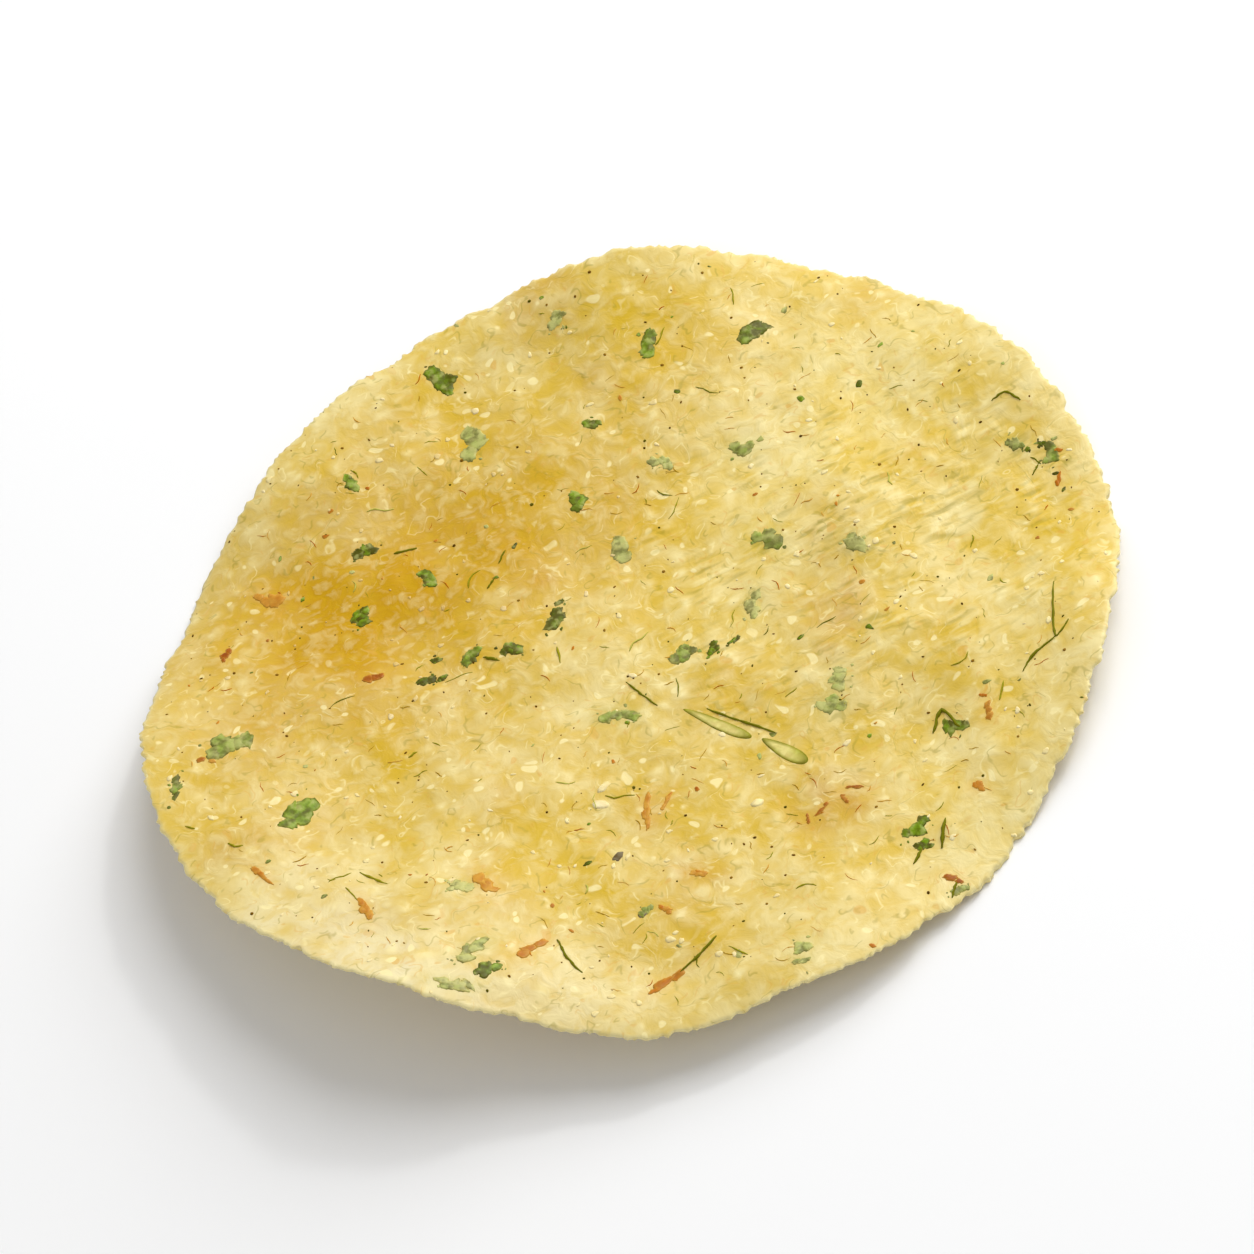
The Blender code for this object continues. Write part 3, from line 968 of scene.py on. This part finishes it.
def make_face(side, leaves, chillies, lowest):
    """One face of the sheet: its points, its triangles, and the tone and wrinkling at each point."""
    chance = random.Random(FACE_SEED + side)
    share, x, y = fine_places()
    rim_distance = (1 - share) * SHEET_RADIUS
    grains = np.zeros_like(x)
    for place in grain_places(side, chance, *PAINTED_GRAINS):
        grains = np.maximum(grains, blob(x, y, place, GRAIN_SPREAD))
    inward = np.clip(rim_distance / EDGE_TAPER, 0, 1)
    thickness = EDGE_SHARES[side] + (1 - EDGE_SHARES[side]) * inward * (2 - inward)
    height = sheet_height(x, y)
    if side < 0:
        lip = np.clip(1 - (height - SHEET_THICKNESS / 2 - lowest) / LIP_HEIGHT, 0, 1)
        thickness += (1 - thickness) * lip
    half = SHEET_THICKNESS / 2 * thickness + relief(x, y, side, grains) * inward
    swell = sum(size * noise_at(x, y, pitch, layer) for size, pitch, layer in SWELLS)
    swell *= np.clip(rim_distance / SWELLS_FADE, 0, 1)
    middle = np.stack((x, y, height), axis=1)
    points = middle + (side * half + swell)[:, None] * sheet_normals(x, y)
    tones = face_tones(x, y, side, rim_distance, grains, leaves, chillies, chance)
    return points, grid_faces(), np.column_stack((tones, wrinkled(x, y, side)))


def on_face(tree, side, x, y, above):
    """Points a little above one face, at places in millimetres; places beyond the rim come inside it."""
    x, y = np.asarray(x, float) * MILLIMETRE, np.asarray(y, float) * MILLIMETRE
    limit = rim_radius(np.arctan2(y, x))
    share = np.minimum(1.0, limit / np.maximum(np.hypot(x, y), MILLIMETRE))
    points = []
    for place_x, place_y, height in zip(x * share, y * share, np.broadcast_to(above, x.shape)):
        hit = None
        while hit is None:
            start = Vector((place_x, place_y, side * SHEET_RADIUS))
            hit = tree.ray_cast(start, Vector((0, 0, -side)))[0]
            place_x, place_y = place_x * PULL_INWARD, place_y * PULL_INWARD
        points.append((hit.x, hit.y, hit.z + side * height))
    return np.array(points)


class Pile:
    """Many small forms, joined into one piece."""

    def __init__(self):
        self.points, self.faces, self.tones, self.count = [], [], [], 0

    def add(self, points, faces, tones):
        self.points.append(points)
        self.faces.append(np.asarray(faces) + self.count)
        self.tones.append(np.broadcast_to(tones, points.shape))
        self.count += len(points)

    def make(self, name, material, shift):
        joined = (np.concatenate(rows) for rows in (self.points, self.faces, self.tones))
        return new_piece(name, *joined, material, shift)


def chopped_outline(sides, chance):
    """The outline of a chopped flake, about 1 across from its middle: straight cuts between a few corners."""
    count = chance.randint(*FLAKE_CORNERS)
    corners = []
    for number in range(count):
        angle = TAU * (number + chance.uniform(-CORNER_SHIFT, CORNER_SHIFT)) / count
        reach = chance.uniform(*FLAKE_REACH)
        corners.append((reach * math.cos(angle), reach * math.sin(angle)))
    corners = np.array(corners)
    along = np.arange(sides) / sides * count
    first = np.floor(along).astype(int) % count
    share = (along - np.floor(along))[:, None]
    outline = corners[first] * (1 - share) + corners[(first + 1) % count] * share
    neighbours = np.roll(outline, 1, axis=0) + np.roll(outline, -1, axis=0)
    rounded = (neighbours + CORNER_WEIGHT * outline) / (CORNER_WEIGHT + 2)
    ragged = [1 + chance.uniform(-FLAKE_FRAY, FLAKE_FRAY) for number in range(sides)]
    return rounded * np.array(ragged)[:, None]


def pod_outline(sides):
    """The outline of a pod, about 1 across from its middle: an egg, wider at its far end."""
    angle = TAU * np.arange(sides) / sides
    return np.column_stack((np.cos(angle), np.sin(angle) * (POD_GIRTH + POD_BULB * np.cos(angle))))


def strip(first, second):
    """The triangles between two rings of points."""
    after_first, after_second = np.roll(first, -1), np.roll(second, -1)
    upper = np.stack((first, second, after_first), axis=1)
    return np.concatenate((upper, np.stack((after_first, second, after_second), axis=1)))


def fan(middle, ring):
    """The triangles between a point and a ring of points."""
    return np.stack((np.full_like(ring, middle), ring, np.roll(ring, -1)), axis=1)


def dome_faces(rings, sides):
    """Triangles of a closed dome: its middle, its rings, a skirt and a flat bottom."""
    levels = [1 + number * sides + np.arange(sides) for number in range(rings + 1)]
    walls = [strip(upper, lower) for upper, lower in zip(levels, levels[1:])]
    return np.concatenate((fan(0, levels[0]), *walls, fan(levels[-1][-1] + 1, levels[-1])[:, ::-1]))


def add_flake(pile, tree, side, place, shape, colour_of, chance, outline=None):
    """One domed flake, sunk into a face; its outline is ragged unless one is given."""
    rings, sides, proud, sunk, crinkle = shape
    x, y, length, width, turn = place[:5]
    if outline is None:
        outline = chopped_outline(sides, chance)
    layer = chance.uniform(0, NOISE_LAYERS)
    rising = np.repeat(np.arange(1, rings + 1) / rings, sides)
    shares = np.concatenate(([0.0], rising, np.ones(sides), [0.0]))
    around = np.concatenate(([[0, 0]], *[outline] * (rings + 1), [[0, 0]]))
    along, across = shares * around[:, 0] * length / 2, shares * around[:, 1] * width / 2
    x, y = turned(along, across, turn, x, y)
    above = proud * np.sqrt(1 - shares**2) + FLAKE_EDGE
    above += crinkle * noise_at(x, y, CRINKLE_PITCH, layer) * (1.0 - CRINKLE_FADE * shares)
    above[-sides - 1:] = -sunk
    faces = dome_faces(rings, sides)
    if side < 0:
        faces = faces[:, ::-1]
    pile.add(on_face(tree, side, x, y, above), faces, colour_of(x, y, shares, layer))


def lobes(place, counts, most_turn, chance):
    """The overlapping lobes of one flake: one at its middle, and others strung along it."""
    x, y, length, width, turn = place[:5]
    count = chance.randint(*counts)
    parts = [(x, y, length * LOBE_MIDDLE, width * LOBE_MIDDLE, turn)]
    for number in range(count):
        string = LOBE_STRING * (2 * number / (count - 1) - 1)
        along = length * (string + chance.uniform(-LOBE_SLIDE, LOBE_SLIDE))
        across = width * chance.uniform(-LOBE_STRAY, LOBE_STRAY)
        part_length = length * chance.uniform(*LOBE_LENGTH)
        part_width = min(width * chance.uniform(*LOBE_WIDTH), part_length)
        part_turn = turn + chance.uniform(-most_turn, most_turn)
        parts.append((*turned(along, across, turn, x, y), part_length, part_width, part_turn))
    return parts


def satellite(place, chance):
    """A crumb of leaf beside a larger leaf."""
    x, y, length, width, turn = place[:5]
    angle = chance.uniform(0, TAU)
    along = length / 2 * chance.uniform(*SATELLITE_AHEAD) * math.cos(angle)
    across = width / 2 * chance.uniform(*SATELLITE_ASIDE) * math.sin(angle)
    size = chance.uniform(*SATELLITE_SIZE)
    slimness = chance.uniform(*SATELLITE_SLIMNESS)
    return *turned(along, across, turn, x, y), size, size * slimness, chance.uniform(-90, 90)


def edge_share(shares, edge):
    """How far into a flake's edge each point is: where the edge starts, and how wide it is."""
    return np.clip((shares - edge[0]) / edge[1], 0, 1)


def leaf_colours(veil, fresh):
    """Colours of a leaf: green, more or less veiled by dough, with a darker edge."""

    def colour_of(x, y, shares, layer):
        green = mix(DARK_LEAF, FRESH_LEAF, fresh + cloudy(x, y, LEAF_GREENS, shift=layer))
        inner = mix(green, VEILED_LEAF, veil * cloudy(x, y, LEAF_VEIL, shift=layer))
        inner = mix(inner, CREAM, np.full_like(x, max(0.0, veil - CREAMY_VEIL)))
        where = np.clip(cloudy(x, y, LEAF_EDGE_CLOUDS, shift=layer), 0, 1)
        rim = edge_share(shares, LEAF_EDGE)
        inner = mix(inner, DARK_EDGE, rim * max(0.0, DARK_EDGE_VEIL - veil) * where)
        least, added = LEAF_EDGE_VEIL
        return mix(inner, VEILED_EDGE, rim * (least + added * veil) * (1 - where))

    return colour_of


def pod_colours(x, y, shares, layer):
    """Colours of a pod: pale green, with an olive rim that is darkest in places."""
    inner = mix(PALE_STEM, CREAM, cloudy(x, y, POD_CREAM, shift=layer))
    rim = mix(OLIVE_STEM, DARK_STEM, cloudy(x, y, POD_DARK, shift=layer))
    return mix(inner, rim, edge_share(shares, POD_EDGE))


def chilli_colours(veil, deep):
    """Colours of a chilli flake: orange to brown red, more or less veiled by dough."""

    def colour_of(x, y, shares, layer):
        red = mix(CHILLI, DEEP_CHILLI, deep + cloudy(x, y, CHILLI_REDS, shift=layer))
        inner = mix(red, VEILED_CHILLI, veil * cloudy(x, y, CHILLI_VEIL, shift=layer))
        least, added = CHILLI_EDGE_VEIL
        return mix(inner, VEILED_CHILLI, edge_share(shares, CHILLI_EDGE) * (least + added * veil))

    return colour_of


def seed_colours(x, y, shares, layer):
    """Colours of a seed: grey, browner in patches."""
    return mix(SEED, SPECKS[0], cloudy(x, y, SEED_BROWNS, shift=layer))


def grain_colours(side):
    """Colours of the grains of one face: pale, whitened in patches as painted glints, and golden, partly
    painted shade, where the dough is golden.
    """

    def colour_of(x, y, shares, layer):
        golden = golden_shade_share(x * MILLIMETRE, y * MILLIMETRE, side)
        pale = mix(GRAIN, PAINTED_GLINT, cloudy(x, y, GRAIN_PAINTED_GLINTS, shift=layer))
        return mix(pale, GOLDEN_SHADE, (1 - GOLDEN_CRUMBS) * golden)

    return colour_of


def smooth_path(corners, samples):
    """Points along a smooth curve through the corners."""
    corners = np.array(corners, float)
    before = 2 * corners[0] - corners[1]
    after = 2 * corners[-1] - corners[-2]
    knots = np.concatenate(([before], corners, [after]))
    path = []
    for number in range(1, len(knots) - 2):
        a, b, c, d = knots[number - 1:number + 3]
        for share in np.arange(samples) / samples:
            path.append(0.5 * (2 * b + (c - a) * share + (2 * a - 5 * b + 4 * c - d) * share**2
                               + (3 * b - a - 3 * c + d) * share**3))
    return np.array([*path, corners[-1]])


def add_thread(pile, tree, side, thickness, colour, corners, samples, chance):
    """One stem or thread: a thin tube on a curve, tapered at both ends and half sunk into a face."""
    path = smooth_path(corners, samples)
    count = len(path)
    bends = [[chance.uniform(-STEM_BENDS, STEM_BENDS) for axis in range(2)] for point in path]
    path += np.array(bends) * thickness
    share = np.arange(count) / (count - 1)
    taper = STEM_TIP + (1 - STEM_TIP) * np.sqrt(np.sin(math.pi * share))
    forward = np.gradient(path, axis=0)
    forward /= np.linalg.norm(forward, axis=1, keepdims=True)
    knots = np.array([1 + chance.uniform(-STEM_KNOTS, STEM_KNOTS) for point in path])
    radius = thickness * taper * knots
    turns = TAU * np.arange(THREAD_SIDES) / THREAD_SIDES
    x = path[:, :1] - forward[:, 1:] * radius[:, None] * np.cos(turns)
    y = path[:, 1:] + forward[:, :1] * radius[:, None] * np.cos(turns)
    lift = radius[:, None] * (np.sin(turns) + THREAD_LIFT) * MILLIMETRE
    surface = on_face(tree, side, path[:, 0], path[:, 1], 0.0)
    height = surface[:, 2:] + side * lift
    points = np.stack((x.ravel() * MILLIMETRE, y.ravel() * MILLIMETRE, height.ravel()), axis=1)
    rings = np.arange(count * THREAD_SIDES).reshape(count, THREAD_SIDES)
    walls = [strip(before, after) for before, after in zip(rings, rings[1:])]
    ends = [(ring[0], ring[turn], ring[turn + 1])
            for ring in (rings[0], np.roll(rings[-1, ::-1], 1)) for turn in range(1, THREAD_SIDES - 1)]
    faces = np.concatenate((*walls, ends))
    pile.add(points, faces[:, ::-1] if side > 0 else faces, colour)


def make_specks(trees, material, shift):
    """Dark specks, half sunk into both faces, and the grey seeds of the shown face."""
    bm = bmesh.new()
    bmesh.ops.create_icosphere(bm, subdivisions=1, radius=1.0)
    ball = np.array([corner.co for corner in bm.verts])
    ball_faces = np.array([[corner.index for corner in face.verts] for face in bm.faces])
    bm.free()
    chance = random.Random(SPECK_SEED)
    pile = Pile()
    for side, tree in trees.items():
        for number in range(SPECK_COUNT):
            x, y = chance_place(chance, 1.0, 1.0)[:2]
            smallest, largest = SPECK_SIZE
            size = (smallest + (largest - smallest) * chance.random()**2) * MILLIMETRE
            slimness = chance.uniform(*SPECK_SLIMNESS)
            flat = turned(ball[:, 0], ball[:, 1] * slimness, chance.uniform(0, 360))
            points = size * np.column_stack((*flat, ball[:, 2] * SPECK_HEIGHT))
            pile.add(points + on_face(tree, side, [x], [y], 0.0), ball_faces, chance.choice(SPECKS))
    for place in SEEDS:
        add_flake(pile, trees[1], 1, place, SMALL_FLAKE, seed_colours, chance)
    pile.make("dark_specks", material, shift)


def make_flakes(trees, spread, materials, shift):
    """Leaves and chilli flakes of both faces, large and small."""
    chance = random.Random(FLAKE_SEED)
    leaves, chillies = Pile(), Pile()
    for side, tree in trees.items():
        leaf_places = list(LEAVES) if side > 0 else []
        chilli_places = list(CHILLIES) if side > 0 else []
        for place in spread[side][0]:
            leaf_places.append((*place, chance.choice(LEAF_VEILS), chance.random()))
        for place in spread[side][1]:
            chilli_places.append((*place, chance.choice(CHILLI_VEILS), chance.random()))
        for place in leaf_places:
            veil, fresh = place[5:]
            for part in lobes(place, LEAF_LOBES, LEAF_LOBE_TURN, chance):
                colours = leaf_colours(veil, fresh + chance.uniform(-LOBE_FRESHNESS, LOBE_FRESHNESS))
                add_flake(leaves, tree, side, part, LARGE_FLAKE, colours, chance)
            for number in range(chance.randint(*SATELLITES)):
                crumb = satellite(place, chance)
                add_flake(leaves, tree, side, crumb, SMALL_FLAKE, leaf_colours(veil, fresh), chance)
        for place in chilli_places:
            for part in lobes(place, CHILLI_LOBES, CHILLI_LOBE_TURN, chance):
                colours = chilli_colours(*place[5:])
                add_flake(chillies, tree, side, part, LARGE_FLAKE, colours, chance)
        for pile, colours_of, (count, small, large, veils) in (
            (leaves, leaf_colours, SMALL_LEAVES),
            (chillies, chilli_colours, SMALL_CHILLIES),
        ):
            for number in range(count):
                place = chance_place(chance, small, large)
                colours = colours_of(chance.choice(veils), chance.random())
                add_flake(pile, tree, side, place, SMALL_FLAKE, colours, chance)
    leaves.make("spinach_leaves", materials["leaf"], shift)
    chillies.make("chilli_flakes", materials["skin"], shift)


def make_threads(trees, material, shift):
    """Stems, pods and fibres of both faces."""
    chance = random.Random(THREAD_SEED)
    pile = Pile()
    for side, tree in trees.items():
        if side > 0:
            for place in PODS:
                outline = pod_outline(LARGE_FLAKE[1])
                add_flake(pile, tree, side, place, LARGE_FLAKE, pod_colours, chance, outline)
            for thickness, colour, corners in STEMS:
                add_thread(pile, tree, side, thickness, colour, corners, STEM_SAMPLES, chance)
        for count, small, large, thickness, colours in CHANCE_THREADS:
            for number in range(count):
                x, y, length, width, turn = chance_place(chance, small, large, THREAD_REACH)
                corners = [(x, y)]
                for step in range(FIBRE_STEPS):
                    turn += chance.uniform(-FIBRE_BEND, FIBRE_BEND)
                    corners.append(turned(length / FIBRE_STEPS, 0, turn, *corners[-1]))
                size = thickness * chance.uniform(*FIBRE_THICKNESS)
                colour = chance.choice(colours)
                add_thread(pile, tree, side, size, colour, corners, FIBRE_SAMPLES, chance)
    pile.make("herb_threads", material, shift)


def make_grains(trees, material, shift):
    """Pale broken grains that stand a little proud of both faces, some whitened as painted glints."""
    chance = random.Random(GRAIN_SEED)
    pile = Pile()
    for side, tree in trees.items():
        for place in grain_places(side, chance, *PROUD_GRAINS):
            add_flake(pile, tree, side, place, GRAIN_SHAPE, grain_colours(side), chance)
    pile.make("lentil_grains", material, shift)


def make_floor():
    """A plain pale floor."""
    bm = bmesh.new()
    bmesh.ops.create_grid(bm, x_segments=1, y_segments=1, size=FLOOR_SIZE)
    mesh = bpy.data.meshes.new("floor")
    bm.to_mesh(mesh)
    bm.free()
    material = bpy.data.materials.new("floor")
    material.use_nodes = True
    shader = material.node_tree.nodes["Principled BSDF"]
    shader.inputs["Base Color"].default_value = (*FLOOR_WHITE, 1.0)
    shader.inputs["Roughness"].default_value = FLOOR_ROUGHNESS
    mesh.materials.append(material)
    floor = add_object("floor", mesh)


def make_lights():
    for name, place, size, power in LIGHTS:
        lamp = bpy.data.lights.new(name, "AREA")
        lamp.shape = "DISK"
        lamp.size = size
        lamp.energy = power
        light = add_object(name, lamp)
        light.location = place
        light.rotation_euler = Vector(place).to_track_quat("Z", "Y").to_euler()
    world = bpy.data.worlds.new("studio")
    world.use_nodes = True
    world.node_tree.nodes["Background"].inputs["Color"].default_value = (1.0, 1.0, 1.0, 1.0)
    world.node_tree.nodes["Background"].inputs["Strength"].default_value = WORLD_LIGHT
    bpy.context.scene.world = world
    bpy.context.scene.view_settings.view_transform = "Standard"


def make_camera(shift):
    """The photograph's view of the sheet: its elevation, roll and distance, with a longer lens."""
    lens = bpy.data.cameras.new("camera")
    lens.lens = CAMERA_LENS
    camera = add_object("camera", lens)
    lean = Vector((0, 0, 1)).rotation_difference(Vector((-LEAN_ALONG_X, -LEAN_ALONG_Y, 1)))
    tilt = Quaternion((1, 0, 0), math.pi / 2 - CAMERA_ELEVATION)
    view = lean @ tilt @ Quaternion((0, 0, 1), -CAMERA_ROLL)
    middle = Vector((0, 0, DISH_DEPTH)) - Vector(shift)
    camera.location = middle + view @ Vector((0, 0, CAMERA_DISTANCE))
    camera.rotation_mode = "QUATERNION"
    camera.rotation_quaternion = view
    bpy.context.scene.camera = camera


def main():
    middle_x, middle_y, lowest = resting_place()
    shift = (middle_x, middle_y, lowest + PRESSED_DEPTH)
    spread = spread_flakes(lowest)
    tunes = {"dough": tune_dough, "leaf": tune_leaf, "skin": tune_skin, "stem": tune_skin}
    materials = {name: make_material(name, tune) for name, tune in tunes.items()}
    faces_of = {
        1: make_face(1, list(LEAVES) + spread[1][0], list(CHILLIES) + spread[1][1], lowest),
        -1: make_face(-1, spread[-1][0], spread[-1][1], lowest),
    }
    make_sheet(faces_of, materials["dough"], shift)
    trees = {side: BVHTree.FromPolygons(points.tolist(), faces.tolist())
             for side, (points, faces, tones) in faces_of.items()}
    make_flakes(trees, spread, materials, shift)
    make_threads(trees, materials["stem"], shift)
    make_specks(trees, materials["stem"], shift)
    make_grains(trees, materials["skin"], shift)
    make_floor()
    make_lights()
    make_camera(shift)


main()
